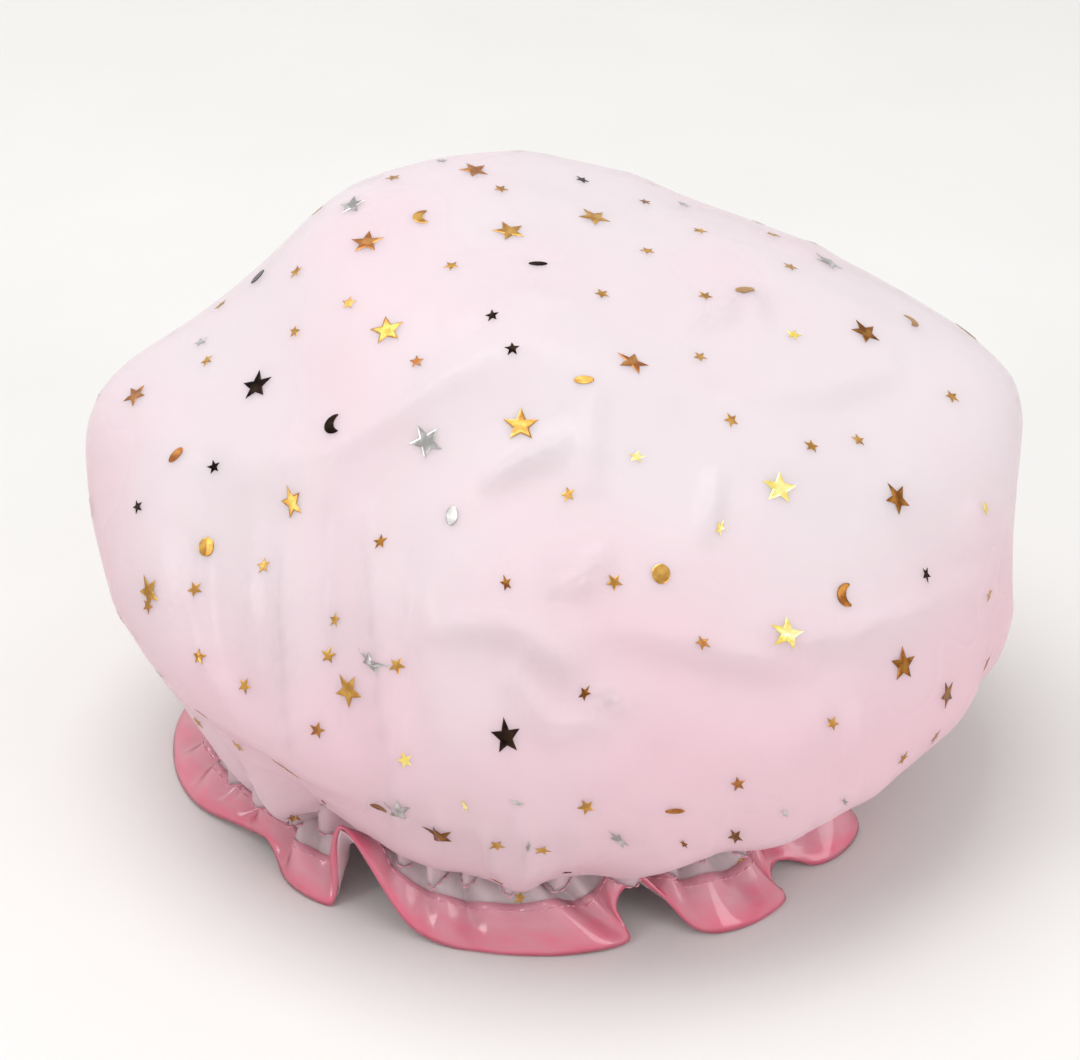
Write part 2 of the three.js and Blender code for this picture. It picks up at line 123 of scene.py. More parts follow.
# %% Light and world
WORLD_LEVEL = 0.64
LAMP_AIM = Vector((0, 0, 60 * MM))
LAMPS = [
    ("window_light", (-0.4, 0.1, 1.8), 17.5, 1.3),
    ("front_fill", (1.1, -0.9, 0.5), 5.5, 0.8),
    ("left_glint", (-1.2, -0.8, 0.8), 3.0, 0.4),
]

for name, place, power, size in LAMPS:
    bpy.ops.object.light_add(type="AREA", location=place)
    lamp = bpy.context.active_object
    lamp.name = name
    lamp.data.energy, lamp.data.size = power, size
    to_cap = LAMP_AIM - lamp.location
    lamp.rotation_euler = to_cap.to_track_quat("-Z", "Y").to_euler()

world = bpy.data.worlds.new("pale_room")
bpy.context.scene.world = world
world.use_nodes = True
world_nodes = world.node_tree.nodes
world_links = world.node_tree.links
backdrop = world_nodes["Background"]
seen_rays = world_nodes.new("ShaderNodeLightPath")
glow = world_nodes.new("ShaderNodeMapRange")
glow.inputs["To Min"].default_value = WORLD_LEVEL
glow.inputs["To Max"].default_value = 1.0
shown = world_nodes.new("ShaderNodeMath")
shown.operation = "MAXIMUM"
world_links.new(seen_rays.outputs["Is Camera Ray"], shown.inputs[0])
world_links.new(seen_rays.outputs["Is Glossy Ray"], shown.inputs[1])
world_links.new(shown.outputs[0], glow.inputs["Value"])
world_links.new(glow.outputs["Result"], backdrop.inputs["Strength"])
backdrop.inputs["Color"].default_value = (1, 1, 1, 1)
bpy.context.scene.view_settings.view_transform = "Standard"

# %% [markdown]
# ## Arithmetic for materials
# A material is a drawing of nodes. Written as Python it gets long, so a small class wraps one
# socket and lets it be added and multiplied like a number. Every other node comes from one method.

# %% Shader helpers


class Wire:
    """One output socket of a material, with which sums can be written."""

    def __init__(self, finish, socket):
        self.finish, self.socket = finish, socket

    def sum(self, operation, first, second=0.0):
        return self.finish.node("Math", {"operation": operation}, {0: first, 1: second})

    def __add__(self, other):
        return self.sum("ADD", self, other)

    def __radd__(self, other):
        return self.sum("ADD", other, self)

    def __sub__(self, other):
        return self.sum("SUBTRACT", self, other)

    def __rsub__(self, other):
        return self.sum("SUBTRACT", other, self)

    def __mul__(self, other):
        return self.sum("MULTIPLY", self, other)

    def __rmul__(self, other):
        return self.sum("MULTIPLY", other, self)

    def sine(self):
        return self.sum("SINE", self)

    def fit(self, low, high, start=0.0, end=1.0):
        """The value, stretched from low..high to start..end and kept there."""
        values = {"Value": self, "From Min": low, "From Max": high, "To Min": start, "To Max": end}
        return self.finish.node("MapRange", {"interpolation_type": "SMOOTHSTEP"}, values)


class Finish:
    """A material under way: a tree to which nodes are added."""

    def __init__(self, name):
        self.material = bpy.data.materials.new(name)
        self.material.use_nodes = True
        self.tree = self.material.node_tree
        self.tree.nodes.clear()

    def node(self, kind, settings=None, sockets=None, out=0):
        made = self.tree.nodes.new("ShaderNode" + kind)
        for name, value in (settings or {}).items():
            setattr(made, name, value)
        for key, value in (sockets or {}).items():
            if isinstance(value, Wire):
                self.tree.links.new(value.socket, made.inputs[key])
            else:
                made.inputs[key].default_value = value
        return Wire(self, made.outputs[out])

    def place(self, stretch=(1, 1, 1), on="Object"):
        """The place in the cap's own frame, in metres, or on the piece's UV map, stretched."""
        spot = self.node("TexCoord", out=on)
        return self.node("Mapping", None, {"Vector": spot, "Scale": stretch})

    def axis(self, where, number):
        """One of the three numbers of a place."""
        return self.node("SeparateXYZ", None, {0: where}, out=number)

    def clouds(self, where, scale, detail=3.0, roughness=0.5, distortion=0.0):
        values = {"Vector": where, "Scale": scale, "Detail": detail}
        values.update({"Roughness": roughness, "Distortion": distortion})
        return self.node("TexNoise", None, values)

    def blend(self, share, first, second):
        """A mix of two colours."""
        settings = {"data_type": "RGBA"}
        return self.node("Mix", settings, {0: share, 6: first, 7: second}, out=2)

    def relief(self, height, depth, strength=1.0, under=None):
        values = {"Height": height, "Distance": depth, "Strength": strength}
        if under is not None:
            values["Normal"] = under
        return self.node("Bump", None, values)

    def done(self, shader):
        end = self.tree.nodes.new("ShaderNodeOutputMaterial")
        self.tree.links.new(shader.socket, end.inputs["Surface"])
        return self.material

    def plain(self, values):
        return self.done(self.node("BsdfPrincipled", None, values))

    def lit_through(self, share, values):
        """A face, mixed with light that comes through it in its own colour."""
        face = self.node("BsdfPrincipled", None, values)
        behind = {"Color": values["Base Color"], "Normal": values["Normal"]}
        lit = self.node("BsdfTranslucent", None, behind)
        return self.done(self.node("MixShader", None, {0: share, 1: face, 2: lit}))


def paint(code):
    """A colour as a colour picker gives it, made linear for a shader."""
    parts = [int(code[i : i + 2], 16) / 255 for i in (1, 3, 5)]
    line = [x / 12.92 if x <= 0.04045 else ((x + 0.055) / 1.055) ** 2.4 for x in parts]
    return (*line, 1.0)


# %% [markdown]
# ## Handling pieces
# Some steps come back for every piece: it is made active, its points are moved, it gets a wall, and
# it is hung on the cap while the solids that it replaces are hidden. They are written once here.

# %% Piece helpers


def points_of(piece):
    flat = np.empty(len(piece.data.vertices) * 3)
    piece.data.vertices.foreach_get("co", flat)
    return flat.reshape(-1, 3)


def put_points(piece, points):
    piece.data.vertices.foreach_set("co", np.ascontiguousarray(points).ravel())
    piece.data.update()


def choose(*pieces):
    """Selects these pieces alone and makes the first one active."""
    bpy.ops.object.select_all(action="DESELECT")
    for piece in pieces:
        piece.select_set(True)
    bpy.context.view_layer.objects.active = pieces[0]


def edit(piece, action="SELECT"):
    choose(piece)
    bpy.ops.object.mode_set(mode="EDIT")
    bpy.ops.mesh.select_all(action=action)


def leave_edit():
    bpy.ops.object.mode_set(mode="OBJECT")


def set_place(piece):
    """Moves the piece's place into its mesh."""
    choose(piece)
    bpy.ops.object.transform_apply(location=True, rotation=True, scale=True)


def joined(pieces, name):
    choose(*pieces)
    if len(pieces) > 1:
        bpy.ops.object.join()
    pieces[0].name = name
    return pieces[0]


def newest(name):
    """The piece that was just added, under its name."""
    piece = bpy.context.active_object
    piece.name = name
    return piece


def flat_grid(name, columns, rows):
    """A grid of one unit each way, with its UV map, and the column and row of each point."""
    bpy.ops.mesh.primitive_grid_add(x_subdivisions=columns, y_subdivisions=rows, size=1)
    piece = newest(name)
    flat = points_of(piece)
    return piece, flat[:, 0] + 0.5, 0.5 - flat[:, 1]


def close_up(piece):
    """Joins the points that meet at a seam or a pole, and shades the piece smooth."""
    edit(piece)
    bpy.ops.mesh.remove_doubles(threshold=0.003 * MM)
    leave_edit()
    bpy.ops.object.shade_smooth()


def thicken(piece, wall, offset=0.0):
    bpy.context.view_layer.objects.active = piece
    skin = piece.modifiers.new("wall", "SOLIDIFY")
    skin.thickness, skin.offset = wall, offset
    bpy.ops.object.modifier_apply(modifier="wall")


def area_of(piece):
    return sum(face.area for face in piece.data.polygons)


def unit(vectors):
    return vectors / np.linalg.norm(vectors, axis=-1, keepdims=True)


def run_along(line):
    """How far it is along a line of points to each of them."""
    return np.append(0, np.cumsum(np.linalg.norm(np.diff(line, axis=0), axis=1)))


def stand_for(piece, slot, *nodes):
    """Hangs the piece on the cap's root and hides the solids that it takes the place of. The slot
    is not used.
    """
    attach(piece, "root")
    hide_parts(*nodes)
    print(piece.name, len(piece.data.polygons), "faces")


# %% [markdown]
# ## The floor
# The cap stands on something plain and pale, so that its colours show. The floor is one wide
# plane. It must not be whiter than the film, or the film would look grey.

# %% Floor
FLOOR_SIZE = 8
FLOOR_DROP = 0.2 * MM

bpy.ops.mesh.primitive_plane_add(size=FLOOR_SIZE, location=(0, 0, -FLOOR_DROP))
floor = newest("pale_floor")
set_place(floor)
cloth = Finish("pale_floor")
floor_tone = cloth.clouds(cloth.place(), 9, 4)
floor_colour = cloth.blend(floor_tone, paint("#E6E5E2"), paint("#EDECEA"))
floor.data.materials.append(cloth.plain({"Base Color": floor_colour, "Roughness": 0.9}))
floor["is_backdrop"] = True

# %% [markdown]
# ## The form of the film
# The film is one sheet. It runs from the top of the crown down to the neck, straight down past the
# elastic, and out again as the ruffle. The same rings and lobes that the solid was made from are
# used again here, with many more points, so that folds can be added. A place on the sheet is given
# by its way round, as a share of a turn, and its way down: 0 at the top, 1 at the top of the neck,
# 2 at its foot and 3 at the edge.

# %% Lengths of the cap
CAP_WIDTH = 265 * MM
CAP_DEPTH = 242 * MM
CAP_HEIGHT = 166 * MM
NECK_RADIUS = 82 * MM
NECK_MIDDLE = 21 * MM
NECK_TOP = 27 * MM
NECK_FOOT = 15 * MM
RUFFLE_LENGTH = 28 * MM
BINDING_WIDTH = 12 * MM

HALF_SIZE = np.array([CAP_WIDTH, CAP_DEPTH]) / 2
APEX_SHARE = (-0.14, 0.32)
# Each ring: its middle, how far it reaches in eight directions, and how high it runs there, from
# the right hand side round by the back.
RING_SHARES = [
    ((-0.05, 0.14), (0.36, 0.36, 0.36, 0.36, 0.38, 0.36, 0.36, 0.36),
     (0.93, 0.945, 0.99, 0.99, 0.96, 0.935, 0.92, 0.915)),
    ((0.05, 0.05), (0.68, 0.69, 0.66, 0.66, 0.66, 0.66, 0.62, 0.66),
     (0.825, 0.84, 0.91, 0.89, 0.84, 0.79, 0.77, 0.77)),
    ((0.05, 0.05), (0.99, 0.92, 0.92, 0.84, 0.97, 0.88, 0.86, 0.88),
     (0.69, 0.685, 0.71, 0.64, 0.675, 0.61, 0.59, 0.6)),
    ((0.05, 0.05), (1, 1, 1, 0.97, 1, 0.98, 1, 1),
     (0.47, 0.46, 0.45, 0.46, 0.53, 0.4, 0.38, 0.39)),
    ((0.05, 0.05), (0.98, 0.96, 0.95, 0.93, 0.93, 0.88, 0.96, 0.97),
     (0.27, 0.26, 0.26, 0.26, 0.28, 0.3, 0.22, 0.23)),
    ((0.03, 0.03), (0.84, 0.84, 0.84, 0.81, 0.79, 0.73, 0.83, 0.83),
     (0.165, 0.165, 0.165, 0.165, 0.18, 0.19, 0.145, 0.175)),
]
DIRECTIONS = 8
# Each lobe of the ruffle: the turn at which its fold lies, how far the fold reaches and lifts, how
# far the lobe reaches, and how far it leans to one side.
LOBE_SHARES = np.array(
    [
        (0.06, -0.24, 0.35, 0.88, 0.06),
        (0.165, -0.3, 0.4, 0.79, -0.05),
        (0.268, -0.18, 0.3, 0.76, 0.08),
        (0.355, -0.24, 0.35, 0.82, 0.04),
        (0.435, -0.12, 0.3, 0.85, -0.2),
        (0.6, 0.3, 0.3, 0.46, 0.25),
        (0.655, 0.3, 1.6, 0.6, 0.2),
        (0.805, 0.25, 1, 0.8, 0.12),
        (0.882, 0.4, 0.3, 0.76, 0.06),
        (0.955, -0.18, 0.35, 0.85, 0.05),
    ]
)
OVERHANG_SHARE = 0.05
BROAD_SHARE = 0.08
LOBES = len(LOBE_SHARES)
TURN = 2 * math.pi

# The cap's parts are placed from the middle of its neck, which the elastic gives.
band_low, band_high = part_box("elastic_band")
neck_place = (np.array(band_low) + np.array(band_high)) / 2 - [0, 0, NECK_MIDDLE]
print("neck axis stands at, mm", (neck_place / MM).round(2))

# %% Curves through points


def between(before, start, end, after, share):
    """A point on a smooth curve between start and end. The four are arrays of points."""
    gaps = ((before, start), (start, end), (end, after))
    d0, d1, d2 = (np.sqrt(np.linalg.norm(b - a, axis=-1, keepdims=True)) for a, b in gaps)
    leaving = ((start - before) / d0 - (end - before) / (d0 + d1) + (end - start) / d1) * d1
    arriving = ((end - start) / d1 - (after - start) / (d1 + d2) + (after - end) / d2) * d1
    square = 3 * (end - start) - 2 * leaving - arriving
    cube = 2 * (start - end) + leaving + arriving
    return start + leaving * share + square * share**2 + cube * share**3


def open_curve(points, place):
    """Points of the curves through points, one curve a column, each at its own place."""
    last = len(points) - 1
    column = np.arange(points.shape[1])
    i = np.clip(np.floor(place).astype(int), 0, last - 1)
    first, final = 2 * points[0] - points[1], 2 * points[-1] - points[-2]
    before = np.where((i > 0)[:, None], points[np.maximum(i - 1, 0), column], first)
    after = np.where((i + 2 <= last)[:, None], points[np.minimum(i + 2, last), column], final)
    return between(before, points[i, column], points[i + 1, column], after, (place - i)[:, None])


def ring_points(ring, turn):
    middle, reach, rise = ring
    angle = np.arange(DIRECTIONS) / DIRECTIONS * TURN
    around = np.stack([np.cos(angle), np.sin(angle)], 1) * np.array(reach)[:, None]
    corners = np.column_stack([(around + middle) * HALF_SIZE, np.array(rise) * CAP_HEIGHT])
    place = (turn % 1) * DIRECTIONS
    i = np.floor(place).astype(int) % DIRECTIONS
    four = [corners[(i + step) % DIRECTIONS] for step in (-1, 0, 1, 2)]
    return between(*four, (place - np.floor(place))[:, None])


def circle_points(radius, angle, height):
    flat = np.broadcast_arrays(radius * np.cos(angle), radius * np.sin(angle), height)
    return np.stack(flat, -1)


# %% The sheet before its folds
fold_turns = np.append(LOBE_SHARES[:, 0], LOBE_SHARES[0, 0] + 1)


def round_of(turn):
    """How many lobes round from the first a turn lies, as a share of them all."""
    past = (turn - fold_turns[0]) % 1 + fold_turns[0]
    return np.interp(past, fold_turns, np.arange(LOBES + 1)) / LOBES


def ruffle_points(turn, share):
    place = round_of(turn) * LOBES
    i = np.floor(place).astype(int) % LOBES
    lobe, following = LOBE_SHARES[i], LOBE_SHARES[(i + 1) % LOBES]
    through = place - np.floor(place)
    span = (following[:, 0] - lobe[:, 0]) % 1
    ease = (1 - np.cos(math.pi * through)) / 2
    outward = np.sin(math.pi * through) ** 1.5
    fold_reach = lobe[:, 1] + (following[:, 1] - lobe[:, 1]) * ease
    fold_lift = lobe[:, 2] + (following[:, 2] - lobe[:, 2]) * ease
    reach = RUFFLE_LENGTH * (fold_reach + (lobe[:, 3] - fold_reach) * outward)
    edge_height = NECK_FOOT * fold_lift * (1 - outward) ** 2
    sway = OVERHANG_SHARE * np.sin(2 * TURN * through) - BROAD_SHARE * np.sin(TURN * through)
    sway = sway + lobe[:, 4] * np.sin(math.pi * through) ** 2
    return circle_points(
        NECK_RADIUS + reach * share,
        (turn + sway * span * share) * TURN,
        NECK_FOOT + (edge_height - NECK_FOOT) * share**1.3,
    )


def sheet_points(turn, down):
    """Points of the smooth sheet, in the cap's own frame before it is moved to its place."""
    apex = np.broadcast_to([*(np.array(APEX_SHARE) * HALF_SIZE), CAP_HEIGHT], (len(turn), 3))
    rings = [ring_points(ring, turn) for ring in RING_SHARES]
    neck = [circle_points(NECK_RADIUS, turn * TURN, height) for height in (NECK_TOP, NECK_FOOT)]
    lines = np.stack([ring_points(RING_SHARES[0], turn + 0.5), apex, *rings, *neck])
    crown = open_curve(lines, 1 + np.clip(down, 0, 1) * (len(RING_SHARES) + 1))
    height = NECK_TOP - (np.clip(down, 1, 2) - 1) * (NECK_TOP - NECK_FOOT)
    straight = circle_points(NECK_RADIUS, turn * TURN, height)
    ruffle = ruffle_points(turn, np.clip(down - 2, 0, 1))
    down = down[:, None]
    return np.where(down <= 1, crown, np.where(down <= 2, straight, ruffle)) + neck_place


def sheet_normals(turn, down, step=1e-4):
    around = sheet_points(turn + step, down) - sheet_points(turn - step, down)
    along = sheet_points(turn, down + step) - sheet_points(turn, down - step)
    across = np.cross(along, around)
    return across / np.maximum(np.linalg.norm(across, axis=1, keepdims=True), 1e-12)


# How far it is along the film from the top of the crown to each way down, on the average.
ways_down = np.linspace(0, 3, 601)
turns = np.arange(16) / 16
walks = [run_along(sheet_points(np.full(ways_down.shape, turn), ways_down)) for turn in turns]
walked = np.mean(walks, 0)
neck_top_at, neck_foot_at, edge_at = (float(np.interp(d, ways_down, walked)) for d in (1, 2, 3))
print("film from the top to the edge, mm", round(edge_at / MM, 1))

# %% [markdown]
# ## Folds, creases and gathers
# A flat circle can't cover a puffed crown without folds. The elastic takes in about three times
# its own length of film, so the film there stands in tight gathers, which run out up the wall and
# down the ruffle. Higher up the film is only creased. Some creases lie where the photograph shows
# them: each is a line of pixels, and the film is lifted near it as the camera sees it. The rest
# comes from noise. The gathers could be simulated, but waves whose width varies are quicker and
# can be the same in every layer, so that the layers follow each other.

# %% Gathers
GATHERS = 48
GATHER_DEPTH = 6 * MM
FOLDS = 19
FOLD_DEPTH = 2.6 * MM
# The gathers are flatter here, where the wall lies on the ruffle.
CALM_TURN, CALM_WIDTH, CALM_SHARE = 0.66, 0.035, 0.75


def wander(place, waves, seed):
    """A smooth value that wanders round the cap and meets itself again."""
    chance = np.random.default_rng(seed)
    total = np.zeros_like(place)
    for i in range(1, waves + 1):
        total += chance.normal() * np.cos(TURN * (i * place + chance.random()))
    return total / math.sqrt(waves)


def gathers(place, walk):
    """How far the film stands out in gathers, at a place round the grid and a walk from the top."""
    above = np.maximum(neck_top_at - walk, 0)
    below = np.maximum(walk - neck_foot_at, 0) / (edge_at - neck_foot_at)
    reach = (11 + 3 * wander(place, 24, 11)) * MM
    tight = np.exp(-((above / np.maximum(reach, 6 * MM)) ** 1.5)) * (1 - 0.98 * np.sqrt(below))
    phase = GATHERS * place + 0.3 * wander(place, 22, 12)
    wave = np.sin(TURN * phase)
    wide_reach = (56 + 12 * wander(place, 9, 13)) * MM
    wide = np.exp(-((above / wide_reach) ** 2)) * (0.35 + 0.65 * np.minimum(above / (15 * MM), 1))
    wide = np.where(walk > neck_top_at, 0.25 + 0.7 * np.sin(math.pi * np.minimum(below, 1)), wide)
    wide_wave = np.sin(TURN * (FOLDS * place + 0.35 * wander(place, 8, 14)))
    size = 1 + 0.2 * np.tanh(wander(place, 30, 15))
    calm = np.exp(-(((turn_of(place) - CALM_TURN) / CALM_WIDTH) ** 2))
    size = size * (1 - CALM_SHARE * calm)
    beside = np.maximum(above, np.maximum(walk - neck_foot_at, 0))
    wide = wide * (1 - np.exp(-((beside / (5 * MM)) ** 2)))
    return GATHER_DEPTH * tight * size * (wave + tight) + FOLD_DEPTH * wide * wide_wave


# %% Creases
# Each crease: the pixels that it runs through, how much it lifts the film, its half width in
# pixels, and how much of it is a step, higher on its right hand side, instead of a ridge.
CREASE_LIFT = 2 * MM
CREASES = [
    (
        [(187, 384), (200, 438), (252, 468), (330, 462), (391, 428), (445, 390), (491, 365),
         (537, 353), (591, 372), (645, 384), (698, 400), (737, 426), (798, 453), (868, 480),
         (929, 492), (955, 520), (965, 560)], 2.2, 36, 0.0,
    ),
    ([(321, 465), (391, 428), (445, 390), (491, 372)], 1.0, 9, 0.0),
    ([(168, 384), (187, 461), (180, 561), (187, 622), (206, 680), (250, 750)], -1.5, 16, 1.0),
    ([(195, 430), (189, 515), (190, 600), (205, 668), (262, 762)], 0.9, 7, 0.0),
    ([(279, 530), (279, 600), (283, 700), (296, 768)], 1.1, 6, 0.0),
    ([(250, 500), (244, 600), (258, 700)], 0.7, 9, 0.0),
    ([(362, 500), (372, 620), (380, 715), (398, 810)], 1.4, 9, 0.0),
    ([(330, 500), (322, 600), (338, 760)], -1.2, 15, 0.0),
    ([(410, 520), (402, 640), (425, 780)], -0.8, 14, 0.0),
    ([(481, 488), (522, 465), (560, 450), (571, 430)], 1.9, 9, 0.0),
    ([(598, 384), (590, 430), (592, 500)], 1.2, 12, 0.0),
    ([(552, 593), (583, 584), (598, 561), (614, 545)], 1.3, 8, 0.0),
    ([(421, 634), (491, 627), (521, 635), (562, 668), (590, 622)], 2.3, 14, 0.4),
    ([(520, 640), (512, 680), (548, 730), (600, 726), (590, 680)], 1.3, 12, 0.0),
    ([(606, 628), (675, 645), (752, 661), (820, 672)], 1.8, 14, 0.4),
    ([(745, 615), (783, 640), (829, 640), (906, 618), (968, 592)], 1.5, 12, 0.2),
    ([(718, 468), (712, 510), (706, 545)], 1.3, 9, 0.0),
    ([(675, 338), (721, 312), (750, 300), (764, 330)], 1.6, 10, 0.0),
    ([(720, 408), (829, 392), (906, 368)], 1.5, 13, 0.3),
    ([(440, 330), (520, 300), (600, 318)], 0.8, 16, 0.0),
    ([(965, 500), (985, 560), (965, 600)], 1.6, 16, 0.2),
    ([(860, 699), (856, 784), (814, 822)], 1.4, 11, 0.0),
    ([(640, 700), (655, 760), (640, 810)], -0.9, 22, 0.0),
    ([(388, 780), (398, 812), (404, 850)], 0.9, 7, 0.0),
    ([(432, 800), (440, 836), (448, 878)], 0.9, 7, 0.0),
    ([(478, 822), (488, 850), (497, 884)], 1.0, 6, 0.0),
    ([(512, 800), (524, 846), (530, 888)], 1.0, 7, 0.0),
    ([(552, 830), (548, 860), (551, 888)], 0.8, 6, 0.0),
    ([(590, 800), (580, 840), (572, 880)], 0.9, 8, 0.0),
    ([(640, 830), (652, 848), (660, 862)], 0.8, 7, 0.0),
    ([(722, 800), (712, 832), (700, 860)], 0.9, 8, 0.0),
]


def near_line(x, y, line):
    """The distance from points to a line through pixels, on which side of it each lies, and how
    strong the line is there. It fades out towards both ends."""
    nearest = np.full(x.shape, 1e9)
    side, strength = np.zeros_like(x), np.zeros_like(x)
    whole = sum(math.dist(a, b) for a, b in zip(line, line[1:]))
    passed = 0
    for (x0, y0), (x1, y1) in zip(line, line[1:]):
        dx, dy = x1 - x0, y1 - y0
        share = np.clip(((x - x0) * dx + (y - y0) * dy) / (dx * dx + dy * dy), 0, 1)
        away = np.hypot(x - x0 - share * dx, y - y0 - share * dy)
        turned = np.sign(dx * (y - y0) - dy * (x - x0))
        along = (passed + share * math.hypot(dx, dy)) / whole
        side = np.where(away < nearest, turned, side)
        strength = np.where(away < nearest, np.sin(math.pi * along) ** 0.6, strength)
        nearest = np.minimum(nearest, away)
        passed += math.hypot(dx, dy)
    return nearest, side, strength


def creases(points, normals):
    """How far the creases that the photograph shows lift the film."""
    x, y = on_photo(points)
    ray = points - eye
    facing = -(ray * normals).sum(1) / np.linalg.norm(ray, axis=1)
    seen = np.clip((facing - 0.05) / 0.25, 0, 1)
    total = np.zeros(len(points))
    for line, lift, width, step in CREASES:
        away, side, strength = near_line(x, y, line)
        ridge = np.exp(-((away / width) ** 1.6))
        stepped = -side * np.tanh(away / width) * np.exp(-((away / (5 * width)) ** 2))
        total += CREASE_LIFT * lift * strength * ((1 - step) * ridge + step * stepped)
    return total * seen


# Sags, where the wall hangs lower beside the fold at the front left. Each: its turn and its way
# down, how far it spreads each way, and how far it stands out in mm.
SAGS = [
    (0.585, 0.86, 0.03, 0.14, 4),
    (0.622, 0.9, 0.026, 0.14, 11),
    (0.705, 0.9, 0.032, 0.13, 7),
    (0.765, 0.92, 0.03, 0.1, 4),
]


def sags(turn, down):
    total = np.zeros_like(turn)
    for middle, depth, wide, deep, lift in SAGS:
        away = ((turn - middle) / wide) ** 2 + ((down - depth) / deep) ** 2
        total += lift * MM * np.exp(-away)
    return total * np.clip((1 - down) / 0.06, 0, 1)


CRUMPLE = 2 * MM


def crumples(points, walk):
    """Shallow facets and fine creases all over the crown and the wall, as film has when it is
    unfolded."""
    broad = np.array([noise.noise(Vector(p) * 14) for p in points])
    ridges = (1.0, 2.1, 3, 0.9, 1.6)  # dimension, lacunarity, octaves, offset and gain
    sharp = np.array([noise.ridged_multi_fractal(Vector(p) * 17, *ridges) for p in points])
    fine = np.array([noise.noise(Vector(p) * 60) for p in points])
    start = np.clip(walk / (12 * MM), 0, 1) * np.clip((neck_top_at - walk) / (30 * MM), 0, 1)
    return start * CRUMPLE * (broad + 0.6 * (sharp - 1) + 0.12 * fine)


# %% [markdown]
# ## Rolling a flat grid into the cap
# A grid is the right start for a sheet, because its UV map then runs once round and once down,
# like the threads of a cloth. The columns stand closer where the ruffle's edge swings far, and the
# rows stand closer near the neck, where the gathers are.

# %% Grid columns and rows
edge_turns = np.linspace(0, 1, 2001)
edge_run = run_along(sheet_points(edge_turns, np.full(edge_turns.shape, 3.0)))
EVEN_SHARE = 0.5
grid_of_turn = EVEN_SHARE * edge_turns + (1 - EVEN_SHARE) * edge_run / edge_run[-1]
# Rows of the grid, as shares, and how far down the film each lies, as shares of its length.
ROW_SHARES = np.array([(0, 0), (0.6, 0.66), (0.8, 0.856), (1, 1)])
FLOOR_CLEARANCE = 0.8 * MM


def turn_of(column):
    return np.interp(column, grid_of_turn, edge_turns)


def walk_of(row):
    return np.interp(row, *ROW_SHARES.T) * edge_at


def row_at(walk):
    return np.interp(walk / edge_at, ROW_SHARES[:, 1], ROW_SHARES[:, 0])


def film_points(column, row, inset=0.0):
    """Points of the folded film at places of the grid, set inwards by a depth."""
    turn, walk = turn_of(column), walk_of(row)
    down = np.interp(walk, walked, ways_down)
    points, normals = sheet_points(turn, down), sheet_normals(turn, np.maximum(down, 2e-3))
    lift = gathers(column, walk) + creases(points, normals) + sags(turn, down)
    lift = lift + crumples(points, walk) - inset
    lift = np.where(walk < 1e-6, -inset, lift)
    placed = points + normals * lift[:, None]
    placed[:, 2] = np.maximum(placed[:, 2], FLOOR_CLEARANCE)
    return placed


# %% Roll the outer film
FILM_WALL = 0.2 * MM
FILM_COLUMNS, FILM_ROWS = 336, 144

film, column, row = flat_grid("outer_film_sheet", FILM_COLUMNS, FILM_ROWS)
put_points(film, film_points(column, row))
close_up(film)
film_tree = BVHTree.FromPolygons(
    [v.co.copy() for v in film.data.vertices], [p.vertices[:] for p in film.data.polygons]
)
thicken(film, FILM_WALL)

# %% [markdown]
# ## The lining
# A second, plainer sheet lies just inside the first and is caught in the same gathers. It makes
# the crown milky, because light has to pass both.

# %% Roll the lining
LINING_INSET = 1.0 * MM
LINING_ROWS = 120
LINING_END = 0.995  # the lining ends a little above the film's edge

lining, column, row = flat_grid("lining_sheet", FILM_COLUMNS, LINING_ROWS)
put_points(lining, film_points(column, row * LINING_END, LINING_INSET))
close_up(lining)
print("lining area", round(area_of(lining), 4))
thicken(lining, FILM_WALL)

# %% [markdown]
# ## Film, as a material
# The film is thin, milky plastic. Light goes through it and comes out of the other side scattered,
# so the crown glows from inside. A Principled shader gives its face, its soft shine and the little
# that is seen through it, and a Translucent shader gives the light that comes through.

# %% Film material
# Painted light: the ruffle below the hem turns a near-white pink, which stands in for the light
# that comes through the crown onto it.
RUFFLE_PAINTED_LIGHT = "#FFF3F6"
HEM_HEIGHT = 13 * MM
NECK_HEIGHTS = (HEM_HEIGHT, 24 * MM)


def film_finish(name, pale, deep, opacity, through):
    film_look = Finish(name)
    spot = film_look.place()
    height = film_look.axis(spot, 2)
    clouds = film_look.clouds(spot, 13, 2)
    # Painted shade and a painted pink glow: towards the bottom the film is mixed to the deeper
    # pink, which stands in for the shade low on the cap and the pink light from the binding and the
    # gathers. The clouds add the same pink at random all over.
    low = 1 - height.fit(0.03, 0.15)
    share = (low * 0.7 + clouds.fit(0.3, 0.75) * 0.42).fit(0.0, 1.0)
    colour = film_look.blend(share, paint(pale), paint(deep))
    # Painted light on the ruffle, below the hem.
    colour = film_look.blend(height.fit(HEM_HEIGHT, 20 * MM), paint(RUFFLE_PAINTED_LIGHT), colour)
    wrinkles = film_look.clouds(spot, 70, 3, 0.6, 0.8)
    values = {
        "Base Color": colour,
        "Roughness": clouds.fit(0.3, 0.7, 0.18, 0.32),
        "Alpha": height.fit(*NECK_HEIGHTS, *opacity),
        "Normal": film_look.relief(wrinkles, 1 * MM, 0.35),
        "IOR": 1.4,
    }
    return film_look.lit_through(height.fit(*NECK_HEIGHTS, *through), values)


# %% Film pieces ride on the cap
FILM_NODES = ["outer_film_crown", "outer_film_wall", "outer_film_ruffle"]
